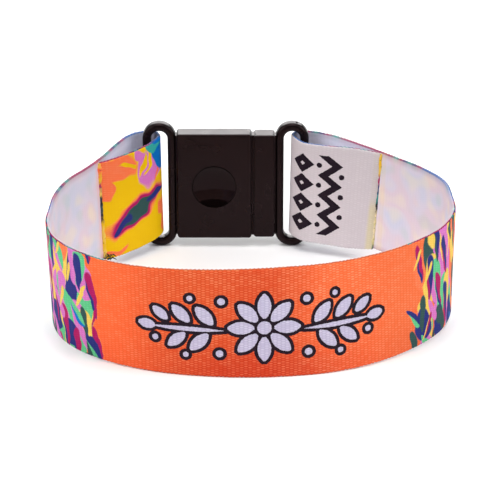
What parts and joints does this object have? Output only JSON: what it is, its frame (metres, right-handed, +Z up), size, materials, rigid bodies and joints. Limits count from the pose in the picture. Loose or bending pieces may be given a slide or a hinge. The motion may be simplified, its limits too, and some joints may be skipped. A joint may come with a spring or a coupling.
{
  "type": "festival wristband",
  "caption": "Loop of printed woven webbing whose ends fold round the rings of a small plastic breakaway buckle and are fused.",
  "frame": {"origin": "on the surface that the band stands on, under the middle of its bounding box", "axes": "+Z up along the wrist's axis, +X along the buckle from socket to plug, +Y from the front of the loop towards the buckle"},
  "size_m": [0.072, 0.0596, 0.0251],
  "materials": {
    "webbing": "fine ribbed polyester weave, sublimation printed",
    "buckle_plastic": "satin moulded plastic"
  },
  "bodies": {
    "root": {"strap": "webbing", "buckle_socket": "buckle_plastic", "buckle_plug": "buckle_plastic"}
  },
  "joints": []
}
